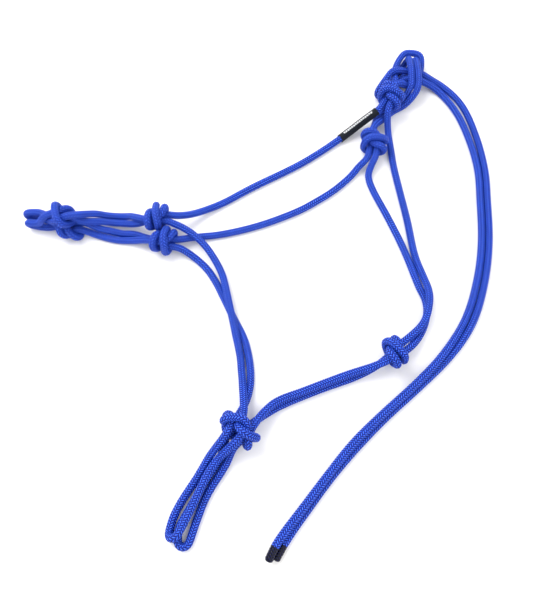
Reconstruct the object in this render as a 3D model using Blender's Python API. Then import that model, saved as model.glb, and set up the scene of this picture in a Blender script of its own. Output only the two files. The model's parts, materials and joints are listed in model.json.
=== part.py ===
"""Rope halter for a horse, lying closed on a flat surface.

The halter is one length of braided rope. In seven places one strand is tied around
another: five double overhand knots and two single ones. One four-strand fiador knot
holds the lead loops, and a sheet bend ties the crown piece to the tie loop. The centre
line of the whole rope is drawn first: plain runs through a few waypoints, and knots
from their own formulas, drawn snug until no two strands are closer than one rope
thickness. The rope is then cut into named sections, one closed solid each, with joints
where the halter folds.

Frame: metres, +Z up, +X to the tail side and +Y to the crown. The origin is below the
middle of the bounding box, at its lowest point. Waypoints are in mm from a point below
the fiador knot, and the finished halter is moved as a whole.
"""

import math

import bpy
import numpy as np
from mathutils import Matrix, Vector

MM = 0.001
ROPE = 7.0  # rope thickness
RADIUS = ROPE / 2
SKIN = 0.9  # share of the rope's radius that a solid fills, so touching strands keep a gap
SIDES = 6  # sides of a rope section
STEP = 0.36 * ROPE  # spacing of the centre line's points
RING_TURN = math.radians(20)  # a section gets a ring wherever its line has turned this much
RING_REACH = 10.0  # and at least this often
CUT_GAP = 0.45  # gap between two sections of one body
HINGE_GAP = 0.5  # gap between two sections that hinge on each other
HINGE_GAP_WIDE = 1.3  # gap where four strands share one hinge line
HINGE_SLOPE = 0.85  # how fast a hinged end widens with the distance from its cut
HINGE_TIP = 0.6  # radius of a hinged end's blunt point
SHORTEST = 1.5  # rings are never closer than this
SKIN_RADIUS = SKIN * RADIUS
CONTACT = 1.02 * ROPE  # centre lines of two strands that touch
SHARPEST = 0.62 * ROPE  # smallest radius that the centre line bends to

KNOT_ROUNDS = 500  # rounds of easing for a knot on its own
LAY_ROUNDS = 260  # then for the whole rope while it is held near its waypoints
PART_ROUNDS = 120  # and last to part the strands that still overlap

TIP_LENGTH = 13.0
TIP_ROUNDING = 1.2
LABEL_INNER = 3.75  # clear of the rope's solid, whose radius is smaller than the rope's
LABEL_OUTER = 4.05
LABEL_SIDES = 12
LABEL_LENGTH = 46.0
LABEL_REACH = 5.0  # spacing of the label's rings
LABEL_MARGIN = 4.5  # from the label's end to the knot above it

BLUE = (0.012, 0.045, 0.60, 1.0)
TIP_BLACK = (0.006, 0.007, 0.02, 1.0)
LABEL_BLACK = (0.008, 0.008, 0.010, 1.0)

# Overhand knots, one strand tied around the other: how many times it wraps, the knot's
# centre, heading of the entry-to-exit line, roll about that line, and 1 or -1 for its mirror image.
OVERHANDS = {
    "near_cheek_knot": (2, (-78, 194, 22), -2, 60, -1),
    "off_cheek_knot": (2, (-72, 176, 14), -12, 60, -1),
    "near_nose_knot": (1, (-164, 194, 26), -1, 235, -1),
    "off_nose_knot": (1, (-161, 191, 11), -4, 270, 1),
    "off_side_knot": (2, (130, 284, 14), 84, 110, -1),
    "tie_loop_knot": (2, (149, 334, 23), 62, 105, -1),
    "throat_knot": (2, (136, 67, 14), 33, 60, -1),
}
OVERHAND_REACH = {1: 1.9, 2: 2.3}  # half length of a knot's section, in rope thicknesses

FIADOR_CENTRE = (1, -1, 21)
FIADOR_HEADING = (-0.62, -0.78, 0)  # level direction in which the lead loops leave the knot
FIADOR_TILT = math.radians(15)  # how far the knot leans up towards the lead loops
FIADOR_SPIN = math.radians(35)
FIADOR_REACH = 1.45

# Plain runs of the rope, in the order and direction that the rope takes.
RUNS = {
    "tail_a_end": [(30.5, -99, 3.5), (42, -82, 3.5), (58, -61, 3.5), (76, -38, 3.5), (100, -12, 3.5)],
    "tail_a_lower": [(126, 13, 3.5), (154, 37, 3.5), (184, 65, 3.5), (209, 97, 3.5)],
    "tail_a_middle": [(226, 139, 3.5), (235, 180, 3.5), (239, 224, 3.5)],
    "tail_a_upper": [(241, 258, 3.5), (237, 299, 3.5), (226, 339, 3.5), (207, 363, 4), (196, 367, 8)],
    "sheet_bend_a": [(186, 370, 11), (177, 372, 14), (168, 372, 16), (159, 368, 19),
                     (151, 363, 18), (145, 357, 16), (140, 350, 12), (139, 345, 7),
                     (142, 350, 4), (148, 361, 3.5), (158, 373, 3.5), (167, 385, 3.5),
                     (173, 392, 6), (174, 391, 13), (173, 375, 20)],
    "crown_rope_a": [(173, 361, 21), (172, 350, 17), (169, 344, 11), (164, 343, 5),
                     (155, 338, 3.5), (147, 332, 3.5), (138, 321, 3.5)],
    "off_cheek_rope": [(116, 262, 6), (109, 253, 4), (89, 234, 3.5), (70, 221, 3.5), (57, 213, 3.5),
                       (17, 196, 3.5), (-21, 186, 3.5), (-44, 183, 5)],
    "off_nose_rope_a": [(-103, 180, 4), (-117, 180, 3.5)],
    "nose_fold_a": [(-188, 201, 5), (-201, 204, 3.5), (-206.5, 205, 5.5), (-206, 205, 10),
                    (-199, 205, 13), (-188, 203, 16)],
    "near_nose_rope_a": [(-124, 204, 7), (-108, 203, 8)],
    "near_cheek_rope": [(-50, 203, 12), (-34, 212, 6), (-16, 222, 3.5), (8, 237, 3.5), (59, 266, 3.5),
                        (96, 293, 4.5), (104, 299, 6), (124, 313, 12)],
    "tie_loop": [(157, 368, 12), (160, 382, 12.5), (168, 394, 13), (177, 398, 13.5),
                 (184, 394, 13), (187, 384, 12), (186, 373, 9), (178, 358, 10)],
    "near_throat_rope": [(147, 304, 6), (149, 282, 3.5), (150, 264, 3.5), (154, 235, 3.5),
                         (159, 201, 3.5), (163, 164, 3.5), (170, 135, 6), (171, 117, 10), (164, 95, 11)],
    "throat_pair_rope_a": [(100, 50, 9), (78, 42, 9), (52, 32, 9), (31, 24, 10)],
    "lead_loop_back": [(-14, -23, 4), (-27, -42, 3.5), (-37, -60, 3.5), (-45, -75, 3.5),
                       (-47, -82, 3.5), (-46, -88, 3.5), (-41, -90, 3.5), (-37, -86, 3.5),
                       (-32, -71, 3.5), (-21, -43, 3.5), (-8, -22, 6)],
    "near_jaw_lower": [(4, 38, 8), (2.5, 50, 5)],
    "near_jaw_rope": [(1.5, 62, 3.5), (-2, 84, 6), (-8, 106, 9), (-12, 122, 9), (-17, 144, 6),
                      (-26, 161, 8), (-34, 172, 10.5), (-48, 184, 14)],
    "near_nose_rope_b": [(-107, 196, 8), (-123, 197, 7)],
    "nose_fold_b": [(-188, 192.5, 14), (-197, 194, 12), (-203.5, 195.5, 9), (-204, 196, 5.5),
                    (-199, 195.5, 3.5), (-188, 194, 4)],
    "off_nose_rope_b": [(-116, 187, 3.5), (-104, 187, 4.5)],
    "off_jaw_rope": [(-45, 163, 4), (-32, 151, 3.5), (-24, 139, 3.5), (-16, 124, 3.5),
                     (-3, 95, 3.5), (6, 75, 3.5)],
    "off_jaw_lower": [(9, 62, 3.5), (10, 40, 3.5)],
    "lead_loop_front": [(-16, -23, 10), (-28, -44, 10.5), (-36, -62, 10.5), (-42, -73, 9),
                        (-45, -81, 7), (-50, -85, 4), (-53, -80, 3.5), (-52, -72, 3.5),
                        (-46, -58, 3.5), (-32, -36, 4), (-23, -21, 9)],
    "throat_pair_rope_b": [(33, 21, 4), (53, 30, 3.5), (79, 40, 3.5), (102, 48, 4)],
    "off_throat_rope": [(166, 95, 3.5), (170, 118, 3.5), (164, 134, 3.5), (159, 152, 3.5), (150, 180, 3.5),
                        (138, 211, 3.5), (128, 235, 3.5), (124, 253, 4)],
    "crown_rope_b": [(144, 320, 3.5), (152, 329, 3.5), (160, 332, 3.5), (168, 337, 6),
                     (173, 340, 12), (177, 345, 17), (180, 357, 21)],
    "sheet_bend_b": [(180, 372, 20), (181, 390, 13), (180, 391, 6), (174, 382, 3.5),
                     (165, 369, 3.5), (155, 357, 3.5), (149, 349, 4), (145, 342, 8),
                     (146, 345, 12), (149, 353, 13), (154, 358, 13), (161, 362, 14),
                     (170, 363, 14), (177, 362, 14), (185, 361, 11)],
    "tail_b_upper": [(195, 360, 8), (203, 356, 4), (219, 331, 3.5), (229, 297, 3.5)],
    "tail_b_middle": [(234, 258, 3.5), (232, 224, 3.5), (228, 180, 3.5)],
    "tail_b_lower": [(219, 140, 3.5), (203, 99, 4), (179, 66, 7), (150, 38, 9)],
    "tail_b_end": [(122, 14, 9), (96, -10, 9), (73, -37, 9), (54, -60, 9.5), (39, -78, 10),
                   (31, -89, 9.5), (26, -100, 8)],
}

# The sections that move, by body. All the others belong to the crown piece.
MOVING = {
    "noseband": [
        "near_nose_rope_a", "near_nose_rope_b", "off_nose_rope_a", "off_nose_rope_b",
        "near_nose_knot_a", "near_nose_knot_b", "off_nose_knot_a", "off_nose_knot_b",
        "nose_fold_a", "nose_fold_b",
    ],
    "near_jaw": ["near_jaw_rope"],
    "off_jaw": ["off_jaw_rope"],
    "near_throat": ["near_throat_rope"],
    "off_throat": ["off_throat_rope"],
    "lead_front": ["lead_loop_front"],
    "lead_back": ["lead_loop_back"],
    "tail_middle": ["tail_a_middle", "tail_b_middle"],
    "tail_lower": ["tail_a_lower", "tail_b_lower"],
    "tail_end_a": ["tail_a_end", "tail_a_tip"],
    "tail_end_b": ["tail_b_end", "tail_b_tip"],
}

# Knots that keep the short stub up to the hinge line of the run beside them.
STUBS = {
    "near_cheek_knot": ("near_nose_rope_a", "near_nose_rope_b"),
    "off_cheek_knot": ("off_nose_rope_a", "off_nose_rope_b"),
    "fiador_knot": ("lead_loop_front", "lead_loop_back"),
}

# The rope's way through the halter: a run's name, or a knot's name, strand and direction.
ROUTE = [
    "tail_a_end", "tail_a_lower", "tail_a_middle", "tail_a_upper", "sheet_bend_a", "crown_rope_a",
    ("off_side_knot", "b", -1), "off_cheek_rope",
    ("off_cheek_knot", "a", -1), "off_nose_rope_a",
    ("off_nose_knot", "a", -1), "nose_fold_a",
    ("near_nose_knot", "b", 1), "near_nose_rope_a",
    ("near_cheek_knot", "a", 1), "near_cheek_rope",
    ("tie_loop_knot", "b", 1), "tie_loop",
    ("tie_loop_knot", "a", -1), "near_throat_rope",
    ("throat_knot", "a", -1), "throat_pair_rope_a",
    ("fiador_knot", "b", 1), "lead_loop_back",
    ("fiador_knot", "a", -1), "near_jaw_lower", "near_jaw_rope",
    ("near_cheek_knot", "b", -1), "near_nose_rope_b",
    ("near_nose_knot", "a", -1), "nose_fold_b",
    ("off_nose_knot", "b", 1), "off_nose_rope_b",
    ("off_cheek_knot", "b", 1), "off_jaw_rope", "off_jaw_lower",
    ("fiador_knot", "d", 1), "lead_loop_front",
    ("fiador_knot", "c", -1), "throat_pair_rope_b",
    ("throat_knot", "b", 1), "off_throat_rope",
    ("off_side_knot", "a", 1), "crown_rope_b", "sheet_bend_b",
    "tail_b_upper", "tail_b_middle", "tail_b_lower", "tail_b_end",
]


def resample(line, count):
    """The line again as evenly spaced points."""
    reach = np.concatenate([[0], np.cumsum(np.linalg.norm(np.diff(line, axis=0), axis=1))])
    places = np.linspace(0, reach[-1], count)
    return np.stack([np.interp(places, reach, line[:, axis]) for axis in range(3)], axis=1)


def line_length(line):
    return np.linalg.norm(np.diff(line, axis=0), axis=1).sum()


def smoothed(line, passes):
    line = line.copy()
    for _ in range(passes):
        line[1:-1] = 0.25 * line[:-2] + 0.5 * line[1:-1] + 0.25 * line[2:]
    return line


def carried_normals(line, first):
    """Unit tangents, and a normal carried along the line without twist."""
    tangents = np.gradient(line, axis=0)
    tangents /= np.linalg.norm(tangents, axis=1)[:, None]
    normals = np.zeros_like(line)
    normal = np.array(first, float)
    for place, tangent in enumerate(tangents):
        normal = normal - tangent * (normal @ tangent)
        normal /= np.linalg.norm(normal)
        normals[place] = normal
    return tangents, normals


def close_pairs(points, strand, reach):
    """Index pairs of points nearer than reach, leaving out neighbours on one strand."""
    firsts, seconds = [], []
    block = 400
    for start in range(0, len(points), block):
        part = points[start:start + block]
        gaps = ((part[:, None] - points[None]) ** 2).sum(axis=2)
        first, second = np.nonzero(gaps < reach * reach)
        first += start
        keep = second > first + 1
        firsts.append(first[keep])
        seconds.append(second[keep])
    first = np.concatenate(firsts)
    second = np.concatenate(seconds)
    along = np.where(strand[first] == strand[second], second - first, 10 ** 6)
    return first, second, along


def draw_snug(strands, lengths, rounds, held, stiffness=0.25, home=None, home_pull=0.0,
              sink=0.0, floor=None, bulk=None):
    """Eases strands to their lengths, never bent sharper or lying closer than a rope can.

    Every round pushes strands apart where they are closer than one rope thickness,
    evens out bends, and pulls each link to its length. Points in held stay in place.
    """
    points = np.concatenate(strands)
    counts = [len(line) for line in strands]
    strand = np.repeat(np.arange(len(strands)), counts)
    free = np.where(np.concatenate(held), 0.0, 1.0)[:, None]
    links = np.nonzero(strand[:-1] == strand[1:])[0]
    inner = links[1:][np.diff(links) == 1]
    first_rest = np.linalg.norm(points[links + 1] - points[links], axis=1)
    ratios = np.array([goal / line_length(line) for goal, line in zip(lengths, strands)])
    last_rest = first_rest * ratios[strand[links]]
    for turn in range(rounds):
        share = min(1.0, turn / (0.7 * rounds))
        rest = first_rest + (last_rest - first_rest) * share
        if turn % 10 == 0:
            first, second, along = close_pairs(points, strand, 1.7 * ROPE)
            reach = np.minimum(along * rest.mean(), math.pi * SHARPEST)
            need = np.minimum(CONTACT, 2.0 * SHARPEST * np.sin(reach / (2 * SHARPEST)))
            if bulk is not None:
                need += np.where(along > LABEL_LENGTH / STEP, bulk[first] + bulk[second], 0)
        apart = points[second] - points[first]
        gap = np.linalg.norm(apart, axis=1) + 1e-9
        hit = gap < need
        push = apart[hit] * (0.5 * (need[hit] - gap[hit]) / gap[hit])[:, None]
        move = np.zeros_like(points)
        for axis in range(3):
            move[:, axis] += np.bincount(second[hit], push[:, axis], len(points))
            move[:, axis] -= np.bincount(first[hit], push[:, axis], len(points))
        hits = np.bincount(np.concatenate([first[hit], second[hit]]), minlength=len(points))
        points += move * free / np.sqrt(np.maximum(1, hits))[:, None]
        bend = np.zeros_like(points)
        bend[inner] = 0.5 * (points[inner - 1] + points[inner + 1]) - points[inner]
        points += stiffness * bend * free
        for _ in range(4):
            link = points[links + 1] - points[links]
            size = np.linalg.norm(link, axis=1) + 1e-9
            pull = (0.45 * (size - rest) / size)[:, None] * link
            move = np.zeros_like(points)
            move[links] += pull
            move[links + 1] -= pull
            points += move * free
        if home is not None:
            points += (home - points) * home_pull * free
        points[:, 2] -= sink * free[:, 0]
        if floor is not None:
            points[:, 2] = np.maximum(points[:, 2], floor)
    ends = np.cumsum(counts)[:-1]
    return np.split(points, ends)


def held_ends(count):
    held = np.zeros(count, bool)
    held[:2] = True
    held[-2:] = True
    return held


def trimmed(line, reach):
    """The stretch of a strand within reach of the knot's middle, measured along its x."""
    inside = np.nonzero(np.abs(line[:, 0]) <= reach)[0]
    return line[inside[0]:inside[-1] + 1]


def overhand_strands():
    """An overhand knot that one strand ties around the other; both enter at -x and leave at +x."""
    lead = 8.0
    take_up = 9.5
    t = np.linspace(-2.02, 2.02, 400)
    tied = np.stack([0.42 * (t ** 5 - 10 * t), t ** 3 - 3 * t, t ** 4 - 4 * t ** 2 + 2], axis=1)
    tied = np.concatenate([[[-lead, 0, 0.8]], tied, [[lead, 0, 0.8]]])
    core = np.array([[-lead, 0, -0.2], [-lead / 2, 0, 0.3], [lead / 2, 0, 0.3], [lead, 0, -0.2]])
    strands, lengths = [], []
    for line, length in ((tied, 2 * lead + take_up), (core, line_length(core) + 0.3)):
        line = smoothed(resample(line, 400), 60)
        lengths.append(length * ROPE)
        strands.append(resample(line * ROPE, round(length * ROPE / STEP)))
    return draw_snug(strands, lengths, KNOT_ROUNDS, [held_ends(len(line)) for line in strands])


def double_overhand_strands():
    """A double overhand that one strand ties around the other; both enter at -x and leave at +x.

    The tying strand runs through to the far side, wraps back twice round the whole
    bundle and leaves through its own wraps.
    """
    lead = 8.0
    take_up = 19.6
    half = [  # turn about the axis in degrees, distance from it, place along it
        (-420, 0.58, -lead), (-420, 0.58, -2.6), (-410, 0.6, -1), (-395, 0.75, 0.8), (-340, 1.35, 1.3),
        (-270, 1.55, 0.85), (-180, 1.55, 0.56), (-90, 1.5, 0.28),
    ]
    profile = half + [(0, 1.5, 0)] + [(-turn, distance, -place) for turn, distance, place in half[::-1]]
    turns, distances, xs = np.array(profile, float).T
    fine = np.linspace(0, len(profile) - 1, 400)
    marks = np.arange(len(profile))
    turns = np.radians(np.interp(fine, marks, turns))
    distances = np.interp(fine, marks, distances)
    tied = np.stack([
        np.interp(fine, marks, xs), distances * np.cos(turns), distances * np.sin(turns),
    ], axis=1)
    core = np.array([[-lead, -0.58, 0], [0, -0.58, 0], [lead, -0.58, 0]])
    strands, lengths = [], []
    for line, length in ((tied, 2 * lead + take_up), (core, line_length(core) + 0.3)):
        line = smoothed(resample(line, 400), 12)
        lengths.append(length * ROPE)
        strands.append(resample(line * ROPE, round(length * ROPE / STEP)))
    return draw_snug(strands, lengths, KNOT_ROUNDS, [held_ends(len(line)) for line in strands])


def fiador_strands():
    """A four-strand diamond knot about x: each strand rounds its neighbours and leaves by the middle."""
    profile = [  # turn about the axis in degrees, distance from it, place along it
        (0, 0.72, -7), (0, 0.72, -4), (0, 0.75, -3), (10, 1, -1), (35, 1.7, 0.8), (75, 2.6, 0.3),
        (110, 2.7, -0.8), (150, 1.9, -0.9), (185, 1, 0.6), (200, 0.75, 3), (200, 0.72, 4), (200, 0.72, 7),
    ]
    length = 21.5 * ROPE
    count = round(length / STEP)
    strands = []
    for quarter in range(4):
        line = []
        for turn, distance, place in profile:
            angle = math.radians(turn + 90 * quarter)
            line.append((place, distance * math.cos(angle), distance * math.sin(angle)))
        line = smoothed(resample(np.array(line), 400), 24)
        strands.append(resample(line * ROPE, count))
    return draw_snug(strands, [length] * 4, KNOT_ROUNDS, [held_ends(count)] * 4)


def turned_about_x(lines, angle):
    c, s = math.cos(angle), math.sin(angle)
    turn = np.array([[1, 0, 0], [0, c, -s], [0, s, c]])
    return [line @ turn.T for line in lines]


def place_overhand(lines, reach, centre, heading, roll, mirror):
    lines = [line * (1, 1, mirror) for line in lines]
    lines = turned_about_x(lines, math.radians(roll))
    c, s = math.cos(math.radians(heading)), math.sin(math.radians(heading))
    turn = np.array([[c, -s, 0], [s, c, 0], [0, 0, 1]])
    return [trimmed(line, reach * ROPE) @ turn.T + centre for line in lines]


def place_fiador(lines):
    """The fiador knot in place, its exit a little higher than its entry."""
    lines = [trimmed(line, FIADOR_REACH * ROPE) * (1, 1, -1) for line in lines]
    lines = turned_about_x(lines, FIADOR_SPIN)
    level = np.array(FIADOR_HEADING)
    axis = level * math.cos(FIADOR_TILT) + np.array([0, 0, 1]) * math.sin(FIADOR_TILT)
    side = np.cross(axis, (-level[1], level[0], 0))
    side /= np.linalg.norm(side)
    turn = np.stack([axis, side, np.cross(axis, side)], axis=1)
    return [line @ turn.T + FIADOR_CENTRE for line in lines]


def knot_strands():
    """Every knot's strands in place, by knot name and strand letter."""
    tied = {1: overhand_strands(), 2: double_overhand_strands()}
    placed = {}
    for name, (wraps, *where) in OVERHANDS.items():
        placed[name] = place_overhand(tied[wraps], OVERHAND_REACH[wraps], *where)
    placed["fiador_knot"] = place_fiador(fiador_strands())
    return {(name, letter): line for name, lines in placed.items() for letter, line in zip("abcd", lines)}


def curve_through(points):
    """A centripetal Catmull-Rom curve through the points, with the leg of each new point."""
    before = 2 * points[0] - points[1]
    after = 2 * points[-1] - points[-2]
    ring = np.concatenate([[before], points, [after]])
    out, owner = [], []
    for place in range(len(points) - 1):
        a, b, c, d = ring[place:place + 4]
        t0 = 0.0
        t1 = t0 + math.sqrt(np.linalg.norm(b - a))
        t2 = t1 + math.sqrt(np.linalg.norm(c - b))
        t3 = t2 + math.sqrt(np.linalg.norm(d - c))
        fine = max(2, round(np.linalg.norm(c - b)))
        for t in np.linspace(t1, t2, fine, endpoint=False):
            ab = a * (t1 - t) / (t1 - t0) + b * (t - t0) / (t1 - t0)
            bc = b * (t2 - t) / (t2 - t1) + c * (t - t1) / (t2 - t1)
            cd = c * (t3 - t) / (t3 - t2) + d * (t - t2) / (t3 - t2)
            abc = ab * (t2 - t) / (t2 - t0) + bc * (t - t0) / (t2 - t0)
            bcd = bc * (t3 - t) / (t3 - t1) + cd * (t - t1) / (t3 - t1)
            out.append(abc * (t2 - t) / (t2 - t1) + bcd * (t - t1) / (t2 - t1))
            owner.append(place)
    out.append(points[-1])
    owner.append(len(points) - 2)
    return np.array(out), np.array(owner)


def section_names(names):
    """The section that owns each stretch between two marks."""
    owners = []
    for here, after in zip(names[:-1], names[1:]):
        owner = here
        if "knot" in here and after not in STUBS.get(here[:-2], ()):
            owner = after
        if "knot" in after and here in STUBS.get(after[:-2], ()):
            owner = after
        owners.append(owner)
    return np.array(owners)


def rope_line():
    """The whole rope's centre line in mm, and the section name of each stretch of it."""
    knots = knot_strands()
    marks, names = [], []
    for leg in ROUTE:
        if isinstance(leg, str):
            points = RUNS[leg]
            name = leg
        else:
            knot, letter, way = leg
            points = knots[knot, letter][::way]
            name = f"{knot}_{letter}"
        marks.extend(points)
        names.extend([name] * len(points))
    line, owner = curve_through(np.array(marks, float))
    count = round(line_length(line) / STEP)
    reach = np.concatenate([[0], np.cumsum(np.linalg.norm(np.diff(line, axis=0), axis=1))])
    places = np.linspace(0, reach[-1], count)
    nearest = np.clip(np.searchsorted(reach, places + 0.5 * STEP), 0, len(owner) - 1)
    labels = section_names(names)[owner[nearest]]
    line = resample(line, count)
    is_knot = np.array(["knot" in label for label in labels])
    pull = np.where(is_knot, 0.01, 0.06)[:, None] * (1, 1, 0.35)
    held = np.zeros(count, bool)
    label_end = np.nonzero(labels == "near_cheek_rope")[0][-1]
    bulk = np.zeros(count)
    bulk[label_end - round(1.2 * LABEL_LENGTH / STEP):label_end] = LABEL_OUTER - SKIN_RADIUS
    line, = draw_snug([line], [line_length(line)], LAY_ROUNDS, [held], stiffness=0.2, home=line.copy(),
                      home_pull=pull, sink=0.01, floor=RADIUS, bulk=bulk)
    line, = draw_snug([line], [line_length(line)], PART_ROUNDS, [held], stiffness=0.01,
                      floor=RADIUS, bulk=bulk)
    return line, labels


# --- solids ---

def fine_line():
    """The centre line about every millimetre, with its distance along, its tangents,
    a carried normal and the section that each point belongs to."""
    coarse, labels = rope_line()
    line, owner = curve_through(coarse)
    sections = labels[owner]
    reach = np.concatenate([[0], np.cumsum(np.linalg.norm(np.diff(line, axis=0), axis=1))])
    sections = np.where(reach < TIP_LENGTH, "tail_a_tip", sections)
    sections = np.where(reach > reach[-1] - TIP_LENGTH, "tail_b_tip", sections)
    tangents, normals = carried_normals(line, (0, 0, 1))
    return line, reach, tangents, normals, sections


class Rope:
    """The whole rope, and places along it."""

    def __init__(self):
        self.line, self.reach, self.tangents, self.normals, self.sections = fine_line()
        edges = np.nonzero(self.sections[1:] != self.sections[:-1])[0] + 1
        edges = np.concatenate([[0], edges, [len(self.line) - 1]])
        self.spans = {}
        for start, end in zip(edges[:-1], edges[1:]):
            self.spans[str(self.sections[start])] = (self.reach[start], self.reach[end])

    def at(self, place, values):
        return np.array([np.interp(place, self.reach, values[:, axis]) for axis in range(3)])

    def point(self, place):
        return self.at(place, self.line)

    def body_middle(self, body):
        return self.line[np.isin(self.sections, MOVING[body])].mean(axis=0)

    def ring(self, place, radius, sides):
        """Corner points of a ring round the centre line."""
        tangent = self.at(place, self.tangents)
        tangent /= np.linalg.norm(tangent)
        normal = self.at(place, self.normals)
        normal -= tangent * (normal @ tangent)
        normal /= np.linalg.norm(normal)
        side = np.cross(tangent, normal)
        turns = np.arange(sides) * 2 * math.pi / sides
        around = np.outer(np.cos(turns), normal) + np.outer(np.sin(turns), side)
        return self.point(place) + radius * around

    def places(self, start, end, reach, turn):
        """Places from start to end, closer together where the line bends."""
        out = [start]
        inside = np.nonzero((self.reach > start) & (self.reach < end))[0]
        last = self.at(start, self.tangents)
        for index in inside:
            tangent = self.tangents[index]
            bent = math.acos(min(1.0, max(-1.0, tangent @ last / np.linalg.norm(last))))
            if self.reach[index] - out[-1] >= reach or bent >= turn:
                out.append(self.reach[index])
                last = tangent
        if end - out[-1] < SHORTEST and len(out) > 1:
            out.pop()
        out.append(end)
        return out


def new_material(name, colour, roughness):
    material = bpy.data.materials.new(name)
    material.use_nodes = True
    shader = material.node_tree.nodes["Principled BSDF"]
    shader.inputs["Base Color"].default_value = colour
    shader.inputs["Roughness"].default_value = roughness
    return material


def new_solid(name, points, faces, colour, roughness, pivot):
    """One closed mesh object. Its points are in mm in the world, its origin is on its pivot."""
    origin = np.zeros(3)
    holder = pivot
    while holder is not None:
        origin += np.array(holder.location) / MM
        holder = holder.parent
    mesh = bpy.data.meshes.new(name)
    mesh.from_pydata([tuple((point - origin) * MM) for point in points], [], faces)
    mesh.validate()
    obj = bpy.data.objects.new(name, mesh)
    bpy.context.scene.collection.objects.link(obj)
    obj.parent = pivot
    obj.data.materials.append(new_material(name, colour, roughness))
    return obj


def tube_faces(rings, sides):
    """Faces of a closed tube of rings, with a flat cap at each end."""
    faces = [tuple(range(sides))[::-1]]
    for ring in range(rings - 1):
        for side in range(sides):
            after = (side + 1) % sides
            low, high = ring * sides, (ring + 1) * sides
            faces.append((low + side, low + after, high + after, high + side))
    faces.append(tuple(range((rings - 1) * sides, rings * sides)))
    return faces


def add_section(rope, name, pivot, start_hinge, end_hinge):
    """One section of the rope as a closed tube, pointed where it hinges on its neighbour."""
    start, end = rope.spans[name]
    taper = (SKIN_RADIUS - HINGE_TIP) / HINGE_SLOPE
    start += (start_hinge or CUT_GAP) / 2
    end -= (end_hinge or CUT_GAP) / 2
    full_start = start + taper if start_hinge else start
    full_end = end - taper if end_hinge else end
    places = rope.places(full_start, full_end, RING_REACH, RING_TURN)
    rings = [rope.ring(place, SKIN_RADIUS, SIDES) for place in places]
    if start_hinge:
        rings.insert(0, rope.ring(start, HINGE_TIP, SIDES))
    if end_hinge:
        rings.append(rope.ring(end, HINGE_TIP, SIDES))
    return new_solid(name, np.concatenate(rings), tube_faces(len(rings), SIDES), BLUE, 0.7, pivot)


def add_tip(rope, name, pivot):
    """The dipped end of the rope, with a rounded rim."""
    start, end = rope.spans[name]
    if start == 0:
        places = [start, start + TIP_ROUNDING, end - CUT_GAP / 2]
        radii = [SKIN_RADIUS - TIP_ROUNDING, SKIN_RADIUS, SKIN_RADIUS]
    else:
        places = [start + CUT_GAP / 2, end - TIP_ROUNDING, end]
        radii = [SKIN_RADIUS, SKIN_RADIUS, SKIN_RADIUS - TIP_ROUNDING]
    rings = [rope.ring(place, radius, SIDES) for place, radius in zip(places, radii)]
    return new_solid(name, np.concatenate(rings), tube_faces(len(rings), SIDES), TIP_BLACK, 0.25, pivot)


def add_label(rope):
    """A woven sleeve round the near cheek rope, just below the tie loop knot."""
    end = rope.spans["near_cheek_rope"][1] - LABEL_MARGIN
    places = rope.places(end - LABEL_LENGTH, end, LABEL_REACH, RING_TURN)
    sides = LABEL_SIDES
    outer = [rope.ring(place, LABEL_OUTER, sides) for place in places]
    inner = [rope.ring(place, LABEL_INNER, sides) for place in places]
    count = len(places)
    shift = count * sides
    faces = []
    for side in range(sides):
        after = (side + 1) % sides
        for ring in range(count - 1):
            low, high = ring * sides, (ring + 1) * sides
            faces.append((low + side, low + after, high + after, high + side))
            faces.append((shift + low + after, shift + low + side, shift + high + side, shift + high + after))
        last = (count - 1) * sides
        faces.append((after, side, shift + side, shift + after))
        faces.append((last + side, last + after, shift + last + after, shift + last + side))
    return new_solid("label_sleeve", np.concatenate(outer + inner), faces, LABEL_BLACK, 0.6, None)


def strand_cut(rope, section, at_end):
    return rope.point(rope.spans[section][1 if at_end else 0])


def best_line(points):
    """A point on the line that lies closest to the points, and its direction."""
    middle = points.mean(axis=0)
    direction = np.linalg.svd(points - middle)[2][0]
    return middle, direction


def hinge_lines(rope):
    """Each moving body's parent body, a point on its hinge line in mm, and the line's direction.

    The direction is the one about which a right-handed turn lifts the body.
    """
    nose = best_line(np.array([
        strand_cut(rope, "near_nose_rope_a", True),
        strand_cut(rope, "near_nose_rope_b", False),
        strand_cut(rope, "off_nose_rope_a", False),
        strand_cut(rope, "off_nose_rope_b", True),
    ]))
    lines = {"noseband": ("crown_piece", *nose)}
    pairs = {  # child body: parent body, then the two cuts that the line runs through
        "near_jaw": ("crown_piece", ("near_jaw_rope", False), ("near_jaw_rope", True)),
        "off_jaw": ("crown_piece", ("off_jaw_rope", True), ("off_jaw_rope", False)),
        "near_throat": ("crown_piece", ("near_throat_rope", True), ("near_throat_rope", False)),
        "off_throat": ("crown_piece", ("off_throat_rope", False), ("off_throat_rope", True)),
        "lead_front": ("crown_piece", ("lead_loop_front", True), ("lead_loop_front", False)),
        "lead_back": ("crown_piece", ("lead_loop_back", False), ("lead_loop_back", True)),
        "tail_middle": ("crown_piece", ("tail_b_middle", False), ("tail_a_middle", True)),
        "tail_lower": ("tail_middle", ("tail_b_lower", False), ("tail_a_lower", True)),
    }
    for body, (parent, (first, first_end), (second, second_end)) in pairs.items():
        a = strand_cut(rope, first, first_end)
        b = strand_cut(rope, second, second_end)
        lines[body] = (parent, (a + b) / 2, (b - a) / np.linalg.norm(b - a))
    for body, section, at_end in (("tail_end_a", "tail_a_end", True), ("tail_end_b", "tail_b_end", False)):
        place = rope.spans[section][1 if at_end else 0]
        across = np.cross(rope.at(place, rope.tangents) * (-1 if at_end else 1), (0, 0, 1))
        lines[body] = ("tail_lower", rope.point(place), across / np.linalg.norm(across))
    for body, (parent, middle, direction) in lines.items():
        lift = np.cross(direction, rope.body_middle(body) - middle)[2]
        lines[body] = (parent, middle, direction * math.copysign(1, lift))
    return lines


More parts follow.
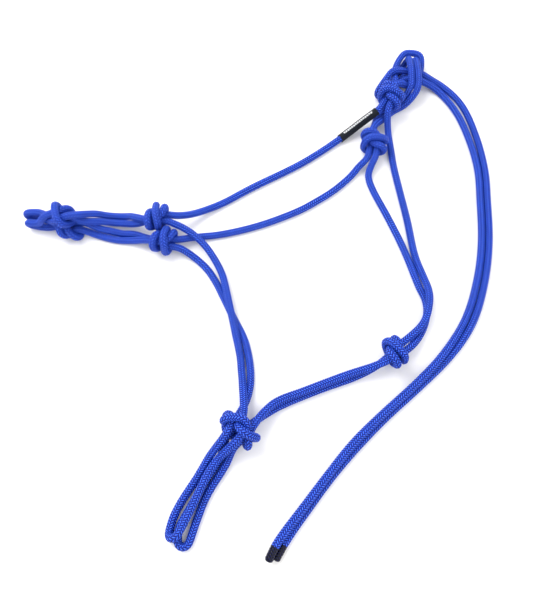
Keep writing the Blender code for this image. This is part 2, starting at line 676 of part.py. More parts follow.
def add_pivots(lines):
    """One empty on each hinge line, held by the parent body's empty, with the line's direction on it."""
    pivots = {"crown_piece": None}
    for body, (parent, middle, direction) in lines.items():
        pivot = bpy.data.objects.new(body + "_pivot", None)
        bpy.context.scene.collection.objects.link(pivot)
        pivot.empty_display_size = 10 * MM
        holder = pivots[parent]
        base = Vector((0, 0, 0)) if holder is None else Vector(lines[parent][1])
        pivot.location = (Vector(middle) - base) * MM
        pivot["hinge_direction"] = [float(value) for value in direction]
        pivot.parent = holder
        pivots[body] = pivot
    return pivots


def centre_on_origin():
    """Moves the whole halter so that the origin is below its middle, at its lowest point."""
    bpy.context.view_layer.update()
    solids = [obj for obj in bpy.data.objects if obj.type == "MESH"]
    corners = np.array([obj.matrix_world @ vertex.co for obj in solids for vertex in obj.data.vertices])
    low, high = corners.min(axis=0), corners.max(axis=0)
    shift = Vector((-(low[0] + high[0]) / 2, -(low[1] + high[1]) / 2, -low[2]))
    for obj in bpy.data.objects:
        if obj.parent is None and obj.type == "MESH":
            obj.data.transform(Matrix.Translation(shift))
        elif obj.parent is None:
            obj.location += shift


def main():
    for obj in list(bpy.data.objects):
        bpy.data.objects.remove(obj)
    rope = Rope()
    lines = hinge_lines(rope)
    pivots = add_pivots(lines)
    body_of = {name: body for body, names in MOVING.items() for name in names}
    order = list(rope.spans)
    for place, name in enumerate(order):
        body = body_of.get(name, "crown_piece")
        gaps = []
        for other in (place - 1, place + 1):
            neighbour = body_of.get(order[other], "crown_piece") if 0 <= other < len(order) else body
            wide = "noseband" in (body, neighbour)
            gaps.append(None if neighbour == body else HINGE_GAP_WIDE if wide else HINGE_GAP)
        if name.endswith("_tip"):
            add_tip(rope, name, pivots[body])
        else:
            add_section(rope, name, pivots[body], *gaps)
    add_label(rope)
    centre_on_origin()


main()
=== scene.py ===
"""The look of the rope halter: one continuous braided rope, its woven label and its dipped ends.

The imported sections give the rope's centre line. The braid is laid along all of it at once, so
that its strands run on from section to section, and is then cut into pieces by section and body.
"""

import json
import math

import bpy
import numpy as np
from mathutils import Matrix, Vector
from mathutils.kdtree import KDTree

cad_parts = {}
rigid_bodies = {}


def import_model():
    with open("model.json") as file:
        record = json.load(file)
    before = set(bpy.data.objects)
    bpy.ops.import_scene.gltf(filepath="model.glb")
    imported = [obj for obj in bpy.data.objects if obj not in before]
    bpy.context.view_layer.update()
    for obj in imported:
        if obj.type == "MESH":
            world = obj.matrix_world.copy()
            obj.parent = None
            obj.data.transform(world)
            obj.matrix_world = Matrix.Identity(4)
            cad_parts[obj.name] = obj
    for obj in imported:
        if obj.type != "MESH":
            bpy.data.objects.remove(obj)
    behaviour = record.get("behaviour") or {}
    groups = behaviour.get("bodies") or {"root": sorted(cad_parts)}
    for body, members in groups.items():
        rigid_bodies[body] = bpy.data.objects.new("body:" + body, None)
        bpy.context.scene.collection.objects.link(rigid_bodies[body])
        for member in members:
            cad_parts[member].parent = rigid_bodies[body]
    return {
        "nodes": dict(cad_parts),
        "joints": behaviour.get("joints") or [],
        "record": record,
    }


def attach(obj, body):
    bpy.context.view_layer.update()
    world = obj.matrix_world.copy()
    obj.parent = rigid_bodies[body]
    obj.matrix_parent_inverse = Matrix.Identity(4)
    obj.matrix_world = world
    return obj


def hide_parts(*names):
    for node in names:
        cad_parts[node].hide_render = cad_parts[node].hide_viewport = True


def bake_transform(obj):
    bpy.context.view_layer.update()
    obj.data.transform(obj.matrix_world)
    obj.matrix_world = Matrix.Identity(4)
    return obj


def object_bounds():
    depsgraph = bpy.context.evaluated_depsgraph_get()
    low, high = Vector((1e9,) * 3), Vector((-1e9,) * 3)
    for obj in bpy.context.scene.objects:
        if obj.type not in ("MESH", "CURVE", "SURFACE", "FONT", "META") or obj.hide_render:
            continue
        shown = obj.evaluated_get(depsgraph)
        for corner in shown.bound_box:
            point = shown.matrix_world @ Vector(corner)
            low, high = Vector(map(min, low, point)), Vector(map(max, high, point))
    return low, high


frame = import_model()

cad_low, cad_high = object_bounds()

MM = 0.001

# The rope.
ROPE_RADIUS = 3.5 * MM
CARRIERS = 8  # carriers that turn each way round the rope, so this many columns of stitches
PITCH = 2.25 * MM  # length of rope from one stitch to the next in a column
YARNS = 4  # yarns side by side in a carrier
YARN_LEAN = 0.35
BRAID_DEPTH = 0.50 * MM  # from the crown of a stitch down to where carriers cross
SIDES = 4 * CARRIERS  # corners of a ring
RINGS_PER_PITCH = 4
RING_STEP = PITCH / RINGS_PER_PITCH
FIRST_PITCH = 0.25  # where in the braid the rope's first ring lies
LINE_STEP = 0.5 * MM
EASING_ROUNDS = 12
CONTACT_SKIP = 10 * MM  # stretches of rope this near along it don't press on each other
CONTACT_REACH = 2.02 * ROPE_RADIUS  # centre lines nearer than this press on each other
CONTACT_GAP = 0.04 * MM  # left between two surfaces that press on each other

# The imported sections, which are closed tubes.
CAD_SIDES = 6  # corners of a ring
WELD_STEP = 0.002 * MM  # corners that round to the same step are one corner
SAME_PLANE = 0.9999  # least cosine between the faces of a flat end
MOST_SPREAD = 1.02  # an end's longest radius over its shortest

# The dipped ends.
DIP_LENGTH = 13 * MM
DIP_SMOOTHING = 0.45  # share of the braid's depth that the coating fills
TIP_DOME = 2.0 * MM
TIP_NARROWING = 0.75  # 1 would bring the dome to a point

# The label.
LABEL_RADIUS = 4.15 * MM
LABEL_THICKNESS = 0.45 * MM
LABEL_SIDES = 48
LABEL_FACE = (-0.15, 0.10, 1.0)  # the way that its stitched line faces: up
HEM_HEIGHT = 0.12 * MM
HEM_SHARE = 0.03  # length of a hem, as a share of the label's
CREASE_DEPTH = 0.10 * MM
CREASE_SHARE = 0.045  # middle of the crease beside a hem, from the label's end
CREASE_HALF_WIDTH = 0.008
WARPS = 60  # ridges of the weave round the label
WEFTS = 110  # and along it
STITCHED_LINE = 0.25  # where round the label the stitched line runs, as a share of a turn
LINE_HALF_WIDTH = 0.042
LINE_WAVES = 13
LINE_WAVE_HEIGHT = 0.012
DASHES = 19
DASH_GAP = 0.28  # share of a dash's length that is left open
STITCHED_FROM = 0.12
STITCHED_TO = 0.90

# How far the piece of rope cut out round a hinge line reaches to each side of it, for each body that moves.
BEND_REACH = {
    "noseband": 9 * MM,
    "lead_front": 9 * MM,
    "lead_back": 9 * MM,
    "tail_middle": 28 * MM,
    "tail_lower": 28 * MM,
    "tail_end_a": 28 * MM,
    "tail_end_b": 28 * MM,
}
SWING_REACH = 12 * MM  # for the jaw ropes and throat ropes

# The studio.
FLOOR_HALF_SIZE = 4.0
WORLD_STRENGTH = 1.15
CAMERA_PLACE = Vector((10.8, -226.7, 515.0)) * MM
CAMERA_TARGET = Vector((10.8, -28.9, -0.3)) * MM
CAMERA_LENS = 36.0  # in millimetres, on Blender's own 36 mm sensor


# --- The rope's centre line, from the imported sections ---

def welded(obj):
    """The node's corner points, each once, and its triangles."""
    mesh = obj.data
    mesh.calc_loop_triangles()
    points = np.empty(len(mesh.vertices) * 3)
    mesh.vertices.foreach_get("co", points)
    points = points.reshape(-1, 3)
    triangles = np.empty(len(mesh.loop_triangles) * 3, np.int32)
    mesh.loop_triangles.foreach_get("vertices", triangles)
    keys = np.round(points / WELD_STEP).astype(np.int64)
    _, first, index = np.unique(keys, axis=0, return_index=True, return_inverse=True)
    return points[first], index.reshape(-1)[triangles.reshape(-1, 3)]


def cap_corners(points, triangles):
    """The corners of one flat end of a closed tube."""
    sides = points[triangles]
    normals = np.cross(sides[:, 1] - sides[:, 0], sides[:, 2] - sides[:, 0])
    normals /= np.linalg.norm(normals, axis=1)[:, None] + 1e-15
    around = {}
    for number, triangle in enumerate(triangles):
        for corner in triangle:
            around.setdefault(int(corner), set()).add(number)
    for number, triangle in enumerate(triangles):
        flat = {number}
        fresh = [number]
        while fresh:
            here = fresh.pop()
            for corner in triangles[here]:
                for other in around[int(corner)] - flat:
                    shared = len(set(map(int, triangles[other])) & set(map(int, triangles[here])))
                    if shared == 2 and normals[other] @ normals[number] > SAME_PLANE:
                        flat.add(other)
                        fresh.append(other)
        corners = sorted({int(corner) for face in flat for corner in triangles[face]})
        if len(corners) != CAD_SIDES or len(flat) != CAD_SIDES - 2:
            continue
        spread = np.linalg.norm(points[corners] - points[corners].mean(axis=0), axis=1)
        if spread.max() < MOST_SPREAD * spread.min():
            return corners
    raise ValueError(f"a packed section has no flat end of {CAD_SIDES} sides")


def ring_centres(obj):
    """The centres of the rings of a packed section, from one end to the other."""
    points, triangles = welded(obj)
    beside = {}
    for triangle in triangles:
        for corner in triangle:
            beside.setdefault(int(corner), set()).update(int(other) for other in triangle)
    layer = set(cap_corners(points, triangles))
    seen = set()
    centres = []
    while layer:
        centres.append(points[sorted(layer)].mean(axis=0))
        seen |= layer
        layer = {other for corner in layer for other in beside[corner]} - seen
    return np.array(centres)


def rope_order(lines, first):
    """Section names in rope order, each line turned to run the rope's way."""
    left = dict(lines)
    line = left.pop(first)
    rest = np.concatenate(list(left.values()))
    if np.linalg.norm(rest - line[-1], axis=1).min() > np.linalg.norm(rest - line[0], axis=1).min():
        line = line[::-1]
    ordered = [(first, line)]
    while left:
        end = ordered[-1][1][-1]
        gaps = {}
        for name, line in left.items():
            gaps[name, 1] = np.linalg.norm(line[0] - end)
            gaps[name, -1] = np.linalg.norm(line[-1] - end)
        name, way = min(gaps, key=gaps.get)
        ordered.append((name, left.pop(name)[::way]))
    return ordered


def curve_through(points, step):
    """A centripetal Catmull-Rom curve, as points about a step apart, and the given points' indexes in it."""
    before = 2 * points[0] - points[1]
    after = 2 * points[-1] - points[-2]
    ring = np.concatenate([[before], points, [after]])
    out = []
    marks = []
    for place in range(len(points) - 1):
        a, b, c, d = ring[place:place + 4]
        t1 = math.sqrt(np.linalg.norm(b - a))
        t2 = t1 + math.sqrt(np.linalg.norm(c - b))
        t3 = t2 + math.sqrt(np.linalg.norm(d - c))
        t = np.linspace(t1, t2, max(2, round(np.linalg.norm(c - b) / step)), endpoint=False)[:, None]
        ab = a * (t1 - t) / t1 + b * t / t1
        bc = b * (t2 - t) / (t2 - t1) + c * (t - t1) / (t2 - t1)
        cd = c * (t3 - t) / (t3 - t2) + d * (t - t2) / (t3 - t2)
        abc = ab * (t2 - t) / t2 + bc * t / t2
        bcd = bc * (t3 - t) / (t3 - t1) + cd * (t - t1) / (t3 - t1)
        marks.append(len(out))
        out.extend(abc * (t2 - t) / (t2 - t1) + bcd * (t - t1) / (t2 - t1))
    marks.append(len(out))
    out.append(points[-1])
    return np.array(out), marks


def along(line):
    """How far along the line each of its points lies."""
    return np.concatenate([[0], np.cumsum(np.linalg.norm(np.diff(line, axis=0), axis=1))])


def carried_normals(line):
    """Unit tangents, and a normal carried along the line without twist."""
    tangents = np.gradient(line, axis=0)
    tangents /= np.linalg.norm(tangents, axis=1)[:, None]
    normals = np.empty_like(line)
    normal = np.array([0.0, 0.0, 1.0])
    for place, tangent in enumerate(tangents):
        normal = normal - tangent * (normal @ tangent)
        normal /= np.linalg.norm(normal)
        normals[place] = normal
    return tangents, normals


class Rope:
    """The whole rope: evenly spaced rings along its centre line, and the stretch of each section."""

    def __init__(self):
        nodes = frame["nodes"]
        lines = {name: ring_centres(nodes[name]) for name in nodes if name != "label_sleeve"}
        ordered = rope_order(lines, "tail_a_tip")
        marks = np.concatenate([line for _, line in ordered])
        line, places = curve_through(marks, LINE_STEP)
        reach = along(line)
        self.length = reach[-1]
        self.count = round(self.length / RING_STEP) + 1
        self.rings = np.linspace(0, self.length, self.count)
        even = [np.interp(self.rings, reach, line[:, axis]) for axis in range(3)]
        self.centres = self.eased(np.stack(even, axis=1))
        self.tangents, self.normals = carried_normals(self.centres)
        self.sections = []
        done = 0
        for name, own in ordered:
            start = reach[places[done]]
            done += len(own)
            end = reach[places[done - 1]]
            self.sections.append([name, start, end])
        for here, after in zip(self.sections[:-1], self.sections[1:]):
            middle = (here[2] + after[1]) / 2
            here[2] = after[1] = middle
        self.sections[0][1] = 0.0
        self.sections[-1][2] = self.length

    @staticmethod
    def eased(line):
        """The line with its small kinks rubbed out."""
        for _ in range(EASING_ROUNDS):
            line[1:-1] = 0.25 * line[:-2] + 0.5 * line[1:-1] + 0.25 * line[2:]
        return line

    def ring_at(self, place):
        return int(round(place / self.length * (self.count - 1)))


# --- The braid's surface ---

def braid_height(around, pitches):
    """How high the braid stands, 0 where carriers cross and 1 on the crown of a stitch.

    Carriers of one family run up to the right and those of the other up to the left. Each
    passes over two of the other family and then under two, one step on from its neighbour.
    """
    a = around * CARRIERS + pitches
    b = around * CARRIERS - pitches
    row = np.floor(a + 1e-6)
    column = np.floor(b + 1e-6)
    turn = np.mod(row + column, 4)
    first = turn < 2
    lengthwise = np.where(first, turn + b - column, turn - 2 + a - row)
    crosswise = np.where(first, a - row, b - column)
    crown = np.sin(math.pi * np.clip(lengthwise, 0, 2) / 2)
    width = np.sin(math.pi * np.clip(crosswise, 0, 1))
    return np.sqrt(np.clip(crown, 0, 1) * 0.8 + 0.2) * np.clip(width, 0, 1)


def braid_place(ring, side):
    """Where a corner lies round the rope, in turns, and along it, in pitches.

    Every other ring is turned half a step.
    """
    return (side + 0.5 * (ring % 2)) / SIDES, ring / RINGS_PER_PITCH + FIRST_PITCH


def rope_surface(rope):
    """Points of the braid's surface, ring by ring."""
    around, pitches = braid_place(np.arange(rope.count)[:, None], np.arange(SIDES))
    height = braid_height(around, pitches)
    place = rope.rings[:, None]
    dipped = np.minimum(place, rope.length - place) < DIP_LENGTH
    depth = np.where(dipped, BRAID_DEPTH * (1 - DIP_SMOOTHING), BRAID_DEPTH)
    radius = ROPE_RADIUS - depth * (1 - height)
    from_end = np.clip(np.minimum(place, rope.length - place) / TIP_DOME, 0, 1)
    radius = radius * np.sqrt(1 - TIP_NARROWING * (1 - from_end) ** 2)
    angle = around * 2 * math.pi
    side = np.cross(rope.tangents, rope.normals)
    out = rope.normals[:, None] * np.cos(angle)[..., None] + side[:, None] * np.sin(angle)[..., None]
    return rope.centres[:, None] + out * radius[..., None]


def press_together(rope, surface):
    """Where two stretches of the rope touch, each one's surface stops halfway between them."""
    tree = KDTree(rope.count)
    for number, centre in enumerate(rope.centres):
        tree.insert(centre, number)
    tree.balance()
    skip = round(CONTACT_SKIP / RING_STEP)
    for number, centre in enumerate(rope.centres):
        points = surface[number]
        for other, other_number, distance in tree.find_range(centre, CONTACT_REACH):
            if abs(other_number - number) <= skip:
                continue
            away = (np.array(other) - centre) / distance
            too_far = (points - centre) @ away - (distance - CONTACT_GAP) / 2
            points -= np.clip(too_far, 0, None)[:, None] * away
    return surface


# --- Materials ---

class Nodes:
    """Short calls to add nodes to a material and to join them."""

    def __init__(self, name):
        self.material = bpy.data.materials.new(name)
        self.material.use_nodes = True
        self.tree = self.material.node_tree
        self.shader = self.tree.nodes["Principled BSDF"]

    def add(self, kind, inputs=(), **settings):
        node = self.tree.nodes.new(kind)
        for key, value in settings.items():
            setattr(node, key, value)
        for socket, value in dict(inputs).items():
            self.put(node.inputs[socket], value)
        return node

    def put(self, socket, value):
        if isinstance(value, bpy.types.NodeSocket):
            self.tree.links.new(value, socket)
        else:
            socket.default_value = value

    def math(self, operation, first, second=0.0, third=0.0):
        node = self.add("ShaderNodeMath", {0: first, 1: second, 2: third}, operation=operation)
        return node.outputs[0]

    def mix(self, share, first, second):
        node = self.add("ShaderNodeMix", {0: share, 2: first, 3: second}, data_type="FLOAT")
        return node.outputs[0]

    def colours(self, share, first, second, blend="MIX"):
        node = self.add("ShaderNodeMix", {0: share, 6: first, 7: second}, data_type="RGBA", blend_type=blend)
        return node.outputs[2]

    def ramp(self, value, stops):
        node = self.add("ShaderNodeValToRGB", {0: value})
        ramp = node.color_ramp
        while len(ramp.elements) < len(stops):
            ramp.elements.new(0.5)
        for element, (place, colour) in zip(ramp.elements, stops):
            element.position = place
            element.color = (*colour, 1)
        return node.outputs[0]


def braid_nodes(nodes):
    """The braid's height, its yarns and a number for each carrier, worked out from the UV map."""
    place = nodes.add("ShaderNodeUVMap", uv_map="braid").outputs[0]
    split = nodes.add("ShaderNodeSeparateXYZ", {0: place})
    around = nodes.math("MULTIPLY", split.outputs[0], CARRIERS)
    a = nodes.math("ADD", around, split.outputs[1])
    b = nodes.math("SUBTRACT", around, split.outputs[1])
    row = nodes.math("FLOOR", a)
    column = nodes.math("FLOOR", b)
    turn = nodes.math("FLOORED_MODULO", nodes.math("ADD", row, column), 4.0)
    second = nodes.math("GREATER_THAN", turn, 1.5)
    across_a = nodes.math("SUBTRACT", a, row)
    across_b = nodes.math("SUBTRACT", b, column)
    lengthwise = nodes.mix(
        second,
        nodes.math("ADD", turn, across_b),
        nodes.math("ADD", nodes.math("SUBTRACT", turn, 2.0), across_a),
    )
    crosswise = nodes.mix(second, across_a, across_b)
    crown = nodes.math("SINE", nodes.math("MULTIPLY", lengthwise, math.pi / 2))
    width = nodes.math("SINE", nodes.math("MULTIPLY", crosswise, math.pi))
    crown = nodes.math("MULTIPLY_ADD", crown, 0.8, 0.2)
    height = nodes.math("MULTIPLY", nodes.math("POWER", crown, 0.45), nodes.math("POWER", width, 1.3))
    lean = nodes.math("MULTIPLY", lengthwise, YARN_LEAN)
    yarn_phase = nodes.math("ADD", nodes.math("MULTIPLY", crosswise, YARNS), lean)
    yarn = nodes.math("SINE", nodes.math("MULTIPLY", yarn_phase, 2 * math.pi))
    carrier = nodes.mix(second, row, nodes.math("ADD", column, 0.37))
    return height, yarn, carrier


def rope_material():
    """Royal blue filament braid, with a painted highlight that makes the crowns bright and painted shade
    that makes it deep blue where the carriers dive under each other.
    """
    nodes = Nodes("blue_braid")
    height, yarn, carrier = braid_nodes(nodes)
    fleck = nodes.add("ShaderNodeTexWhiteNoise", {"W": carrier}, noise_dimensions="1D").outputs[0]
    cloud = nodes.add("ShaderNodeTexNoise", {"Scale": 45.0, "Detail": 3.0}).outputs[0]
    # Painted shade and highlight: near black where the carriers cross, as if in shade, and bright blue on
    # the crowns of the stitches, as if lit.
    colour = nodes.ramp(height, [
        (0.0, (0.001, 0.004, 0.06)),
        (0.35, (0.002, 0.012, 0.20)),
        (0.65, (0.008, 0.044, 0.52)),
        (1.0, (0.075, 0.210, 1.0)),
    ])
    shade = nodes.math("MULTIPLY_ADD", fleck, 0.22, 0.84)
    shade = nodes.math("MULTIPLY", shade, nodes.math("MULTIPLY_ADD", cloud, 0.30, 0.85))
    shade = nodes.math("MULTIPLY", shade, nodes.math("MULTIPLY_ADD", yarn, 0.07, 1.0))
    tint = nodes.add("ShaderNodeCombineColor", {0: shade, 1: shade, 2: shade}).outputs[0]
    colour = nodes.colours(1.0, colour, tint, "MULTIPLY")
    nodes.put(nodes.shader.inputs["Base Color"], colour)
    roughness = nodes.math("MULTIPLY_ADD", yarn, 0.06, 0.52)
    nodes.put(nodes.shader.inputs["Roughness"], roughness)
    nodes.put(nodes.shader.inputs["Specular IOR Level"], 0.18)
    relief = nodes.math("MULTIPLY_ADD", yarn, 0.10, height)
    bump = nodes.add("ShaderNodeBump", {"Height": relief, "Strength": 0.7, "Distance": 0.35 * MM})
    nodes.put(nodes.shader.inputs["Normal"], bump.outputs[0])
    return nodes.material


def dipped_material():
    """The rope's end in glossy black coating, through which the braid still shows."""
    nodes = Nodes("black_dip")
    height = braid_nodes(nodes)[0]
    patches = nodes.add("ShaderNodeTexNoise", {"Scale": 500.0, "Detail": 2.0}).outputs[0]
    colour = nodes.ramp(height, [
        (0.0, (0.0005, 0.0005, 0.004)),
        (0.7, (0.0010, 0.0015, 0.016)),
        (1.0, (0.0030, 0.0060, 0.060)),
    ])
    nodes.put(nodes.shader.inputs["Base Color"], colour)
    nodes.put(nodes.shader.inputs["Roughness"], nodes.math("MULTIPLY_ADD", patches, 0.22, 0.10))
    nodes.put(nodes.shader.inputs["Specular IOR Level"], 0.12)
    nodes.put(nodes.shader.inputs["Coat Weight"], 0.12)
    nodes.put(nodes.shader.inputs["Coat Roughness"], 0.12)
    bump = nodes.add("ShaderNodeBump", {"Height": height, "Strength": 0.35, "Distance": 0.3 * MM})
    nodes.put(nodes.shader.inputs["Normal"], bump.outputs[0])
    return nodes.material


def label_material():
    """Black woven ribbon with a plain pale stitched line along it."""
    nodes = Nodes("woven_label")
    place = nodes.add("ShaderNodeUVMap", uv_map="weave").outputs[0]
    split = nodes.add("ShaderNodeSeparateXYZ", {0: place})
    around, length = split.outputs[0], split.outputs[1]
    warp = nodes.math("SINE", nodes.math("MULTIPLY", around, 2 * math.pi * WARPS))
    weft = nodes.math("SINE", nodes.math("MULTIPLY", length, 2 * math.pi * WEFTS))
    weave = nodes.math("MULTIPLY", warp, weft)
    wave = nodes.math("SINE", nodes.math("MULTIPLY", length, 2 * math.pi * LINE_WAVES))
    middle = nodes.math("MULTIPLY_ADD", wave, LINE_WAVE_HEIGHT, STITCHED_LINE)
    off_line = nodes.math("ABSOLUTE", nodes.math("SUBTRACT", around, middle))
    on_line = nodes.math("LESS_THAN", off_line, LINE_HALF_WIDTH)
    dash_place = nodes.math("FRACT", nodes.math("MULTIPLY", length, DASHES))
    on_dash = nodes.math("GREATER_THAN", dash_place, DASH_GAP)
    after_start = nodes.math("GREATER_THAN", length, STITCHED_FROM)
    before_end = nodes.math("LESS_THAN", length, STITCHED_TO)
    inside = nodes.math("MULTIPLY", after_start, before_end)
    thread = nodes.math("MULTIPLY", nodes.math("MULTIPLY", on_line, on_dash), inside)
    ground = nodes.ramp(nodes.math("MULTIPLY_ADD", weave, 0.5, 0.5), [
        (0.0, (0.003, 0.004, 0.007)),
        (1.0, (0.010, 0.013, 0.022)),
    ])
    colour = nodes.colours(thread, ground, (0.62, 0.63, 0.66, 1))
    nodes.put(nodes.shader.inputs["Base Color"], colour)
    nodes.put(nodes.shader.inputs["Roughness"], 0.6)
    nodes.put(nodes.shader.inputs["Specular IOR Level"], 0.15)
    nodes.put(nodes.shader.inputs["Sheen Weight"], 0.05)
    relief = nodes.math("MULTIPLY_ADD", thread, 0.8, weave)
    bump = nodes.add("ShaderNodeBump", {"Height": relief, "Strength": 0.5, "Distance": 0.12 * MM})
    nodes.put(nodes.shader.inputs["Normal"], bump.outputs[0])
    return nodes.material


def floor_material():
    """Plain pale paper."""
    nodes = Nodes("studio_paper")
    grain = nodes.add("ShaderNodeTexNoise", {"Scale": 6.0, "Detail": 4.0}).outputs[0]
    colour = nodes.ramp(grain, [(0.3, (0.86, 0.855, 0.845)), (0.7, (0.89, 0.885, 0.88))])
    nodes.put(nodes.shader.inputs["Base Color"], colour)
    nodes.put(nodes.shader.inputs["Roughness"], 0.85)
    return nodes.material


# --- Pieces ---

def new_mesh_object(name, points, faces, material, layer, uvs):
    mesh = bpy.data.meshes.new(name)
    mesh.from_pydata(points.tolist(), [], faces.tolist())
    uv_layer = mesh.uv_layers.new(name=layer)
    uv_layer.data.foreach_set("uv", np.asarray(uvs, np.float32).ravel())
    mesh.shade_smooth()
    mesh.materials.append(material)
    obj = bpy.data.objects.new(name, mesh)
    bpy.context.scene.collection.objects.link(obj)
    return obj


# The corners of the two triangles between one ring and the next, as steps along the rope and
# round it. A turned ring's corners lie half a step on, so its triangles lean the other way.
PLAIN_TRIANGLES = (((0, 0), (0, 1), (1, 0)), ((0, 1), (1, 1), (1, 0)))
TURNED_TRIANGLES = (((0, 0), (1, 1), (1, 0)), ((0, 0), (0, 1), (1, 1)))


def rope_piece(name, surface, first, last, material):
    """The braid from one ring to another, closed at the rope's own ends."""
    points = surface[first:last + 1].reshape(-1, 3)
    ring = np.arange(first, last)[:, None, None]
    side = np.arange(SIDES)[None, :, None]
    turned = (ring % 2 == 1)[..., None]
    faces = []
    uvs = []
    for plain, leaning in zip(PLAIN_TRIANGLES, TURNED_TRIANGLES):
        steps = np.where(turned, leaning, plain)
        corner_ring = ring + steps[..., 0] + 0 * side
        corner_side = side + steps[..., 1]
        corners = (corner_ring - first) * SIDES + corner_side % SIDES
        faces.append(corners.reshape(-1, 3))
        uvs.append(np.stack(braid_place(corner_ring, corner_side), axis=-1).reshape(-1, 2))
    ends = []
    if first == 0:
        ends.append(np.arange(SIDES)[::-1])
    if last == len(surface) - 1:
        ends.append(len(points) - SIDES + np.arange(SIDES))
    for corners in ends:
        points = np.concatenate([points, [points[corners].mean(axis=0)]])
        middle = np.full(SIDES, len(points) - 1)
        faces.append(np.stack([corners, np.roll(corners, -1), middle], axis=1))
        uvs.append(np.zeros((3 * SIDES, 2)))
    faces = np.concatenate(faces)
    uvs = np.concatenate(uvs)
    return new_mesh_object(name, points, faces, material, "braid", uvs)


def body_of_node():
    """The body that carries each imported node."""
    bodies = frame["record"]["behaviour"]["bodies"]
    return {node: body for body, nodes in bodies.items() for node in nodes}


def parent_chain(body):
    """The bodies that carry this one, nearest first."""
    parents = {joint["child"]: joint["parent"] for joint in frame["joints"]}
    chain = []
    while body in parents:
        body = parents[body]
        chain.append(body)
    return chain


def bend_reaches(rope, owner):
    """How far the piece round each cut between two bodies reaches to each side of it."""
    reaches = {}
    for (name, _, _), (after, _, _) in zip(rope.sections[:-1], rope.sections[1:]):
        if owner[name] != owner[after]:
            moving = owner[after] if owner[name] in parent_chain(owner[after]) else owner[name]
            reaches[name, after] = BEND_REACH.get(moving, SWING_REACH)
    return reaches


def build_rope(rope, surface, braid, dip):
    """One piece for each section, and one round each hinge line between two bodies."""
    owner = body_of_node()
    reaches = bend_reaches(rope, owner)
    names = [None] + [name for name, _, _ in rope.sections] + [None]
    for (name, start, end), before, after in zip(rope.sections, names, names[2:]):
        first = rope.ring_at(start + reaches.get((before, name), 0))
        last = rope.ring_at(end - reaches.get((name, after), 0))
        is_tip = name.endswith("_tip")
        piece = rope_piece(f"{name}_braid", surface, first, last, dip if is_tip else braid)
        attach(piece, owner[name])
        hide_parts(name)
        if (name, after) in reaches:
            reach = reaches[name, after]
            first = rope.ring_at(end - reach)
            last = rope.ring_at(end + reach)
            bend = rope_piece(f"{name}_to_{after}", surface, first, last, braid)
            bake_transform(bend)


def label_steps(rope):
    """The rings of the rope that the label covers."""
    points, _ = welded(frame["nodes"]["label_sleeve"])
    start, end = next((start, end) for name, start, end in rope.sections if name == "near_cheek_rope")
    own = np.arange(rope.ring_at(start), rope.ring_at(end))
    gaps = np.linalg.norm(points[:, None] - rope.centres[None, own], axis=2)
    numbers = own[gaps.argmin(axis=1)]
    return np.arange(numbers.min(), numbers.max() + 1)


def label_layers(rope, steps):
    """Rings of points of the label's outer face and of its inner face."""
    share = np.linspace(0, 1, len(steps))
    from_end = np.minimum(share, 1 - share)
    hem = np.clip(1 - from_end / HEM_SHARE, 0, 1)
    crease = np.abs(from_end - CREASE_SHARE) < CREASE_HALF_WIDTH
    outer = LABEL_RADIUS + HEM_HEIGHT * np.sqrt(1 - (1 - hem) ** 2) - CREASE_DEPTH * crease
    inner = np.full(len(steps), LABEL_RADIUS - LABEL_THICKNESS)
    angle = (np.arange(LABEL_SIDES) / LABEL_SIDES - STITCHED_LINE) * 2 * math.pi
    tangents = rope.tangents[steps]
    normals = LABEL_FACE - tangents * (tangents @ LABEL_FACE)[:, None]
    normals /= np.linalg.norm(normals, axis=1)[:, None]
    side = np.cross(tangents, normals)
    out = normals[:, None] * np.cos(angle)[None, :, None] + side[:, None] * np.sin(angle)[None, :, None]
    return [rope.centres[steps][:, None] + out * layer[:, None, None] for layer in (outer, inner)]


def build_label(rope, material):
    """A ribbon sleeve round the near cheek rope, hemmed at both ends."""
    layers = label_layers(rope, label_steps(rope))
    count = len(layers[0])
    # The sleeve's wall goes along the outer face, back along the inner face and closes on its start.
    order = np.concatenate([np.arange(count), np.arange(count, 2 * count)[::-1], [0]])
    length = np.concatenate([np.linspace(0, 1, count), np.linspace(1, 0, count), [0]])
    low = order[:-1, None] * LABEL_SIDES
    high = order[1:, None] * LABEL_SIDES
    here = np.arange(LABEL_SIDES)
    after = (here + 1) % LABEL_SIDES
    faces = np.stack([low + here, low + after, high + after, high + here], axis=-1)
    around = np.broadcast_to(np.stack([here, here + 1, here + 1, here], axis=-1) / LABEL_SIDES, faces.shape)
    ends = np.stack([length[:-1], length[:-1], length[1:], length[1:]], axis=-1)
    uvs = np.stack([around, np.broadcast_to(ends[:, None], faces.shape)], axis=-1)
    points = np.concatenate(layers).reshape(-1, 3)
    piece = new_mesh_object("label_ribbon", points, faces.reshape(-1, 4), material, "weave", uvs)
    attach(piece, body_of_node()["label_sleeve"])
    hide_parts("label_sleeve")


# --- Floor, light and camera ---

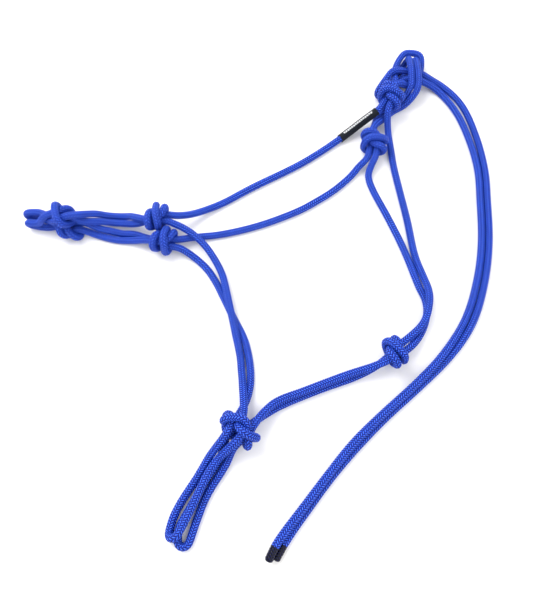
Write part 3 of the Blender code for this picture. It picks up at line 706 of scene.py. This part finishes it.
def build_floor(material):
    size = FLOOR_HALF_SIZE
    corners = [(-size, -size, 0), (size, -size, 0), (size, size, 0), (-size, size, 0)]
    mesh = bpy.data.meshes.new("floor")
    mesh.from_pydata(corners, [], [(0, 1, 2, 3)])
    mesh.materials.append(material)
    floor = bpy.data.objects.new("floor", mesh)
    bpy.context.scene.collection.objects.link(floor)


def add_area_light(name, place, target, size, power, colour):
    light = bpy.data.lights.new(name, "AREA")
    light.shape = "DISK"
    light.size = size
    light.energy = power
    light.color = colour
    obj = bpy.data.objects.new(name, light)
    obj.location = place
    obj.rotation_euler = (Vector(target) - Vector(place)).to_track_quat("-Z", "Y").to_euler()
    bpy.context.scene.collection.objects.link(obj)


def build_light():
    """Two soft lamps and a bright, even surround."""
    middle = (cad_low + cad_high) / 2
    key_place = middle + Vector((-0.6, 0.45, 1.1))
    fill_place = middle + Vector((0.9, -0.6, 1.2))
    add_area_light("key", key_place, middle, size=0.9, power=14.0, colour=(1.0, 0.985, 0.96))
    add_area_light("fill", fill_place, middle, size=1.4, power=6.0, colour=(1.0, 0.99, 0.97))
    world = bpy.data.worlds.new("studio")
    world.use_nodes = True
    background = world.node_tree.nodes["Background"]
    background.inputs["Color"].default_value = (1, 1, 1, 1)
    background.inputs["Strength"].default_value = WORLD_STRENGTH
    bpy.context.scene.world = world
    bpy.context.scene.view_settings.view_transform = "Standard"


def build_camera():
    """Above the lead loop's side of the halter, looking down at 69 degrees."""
    data = bpy.data.cameras.new("camera")
    data.lens = CAMERA_LENS
    data.clip_start = 10 * MM
    camera = bpy.data.objects.new("camera", data)
    camera.location = CAMERA_PLACE
    camera.rotation_euler = (CAMERA_TARGET - CAMERA_PLACE).to_track_quat("-Z", "Y").to_euler()
    bpy.context.scene.collection.objects.link(camera)
    bpy.context.scene.camera = camera


def main():
    rope = Rope()
    surface = press_together(rope, rope_surface(rope))
    build_rope(rope, surface, rope_material(), dipped_material())
    build_label(rope, label_material())
    build_floor(floor_material())
    build_light()
    build_camera()


main()
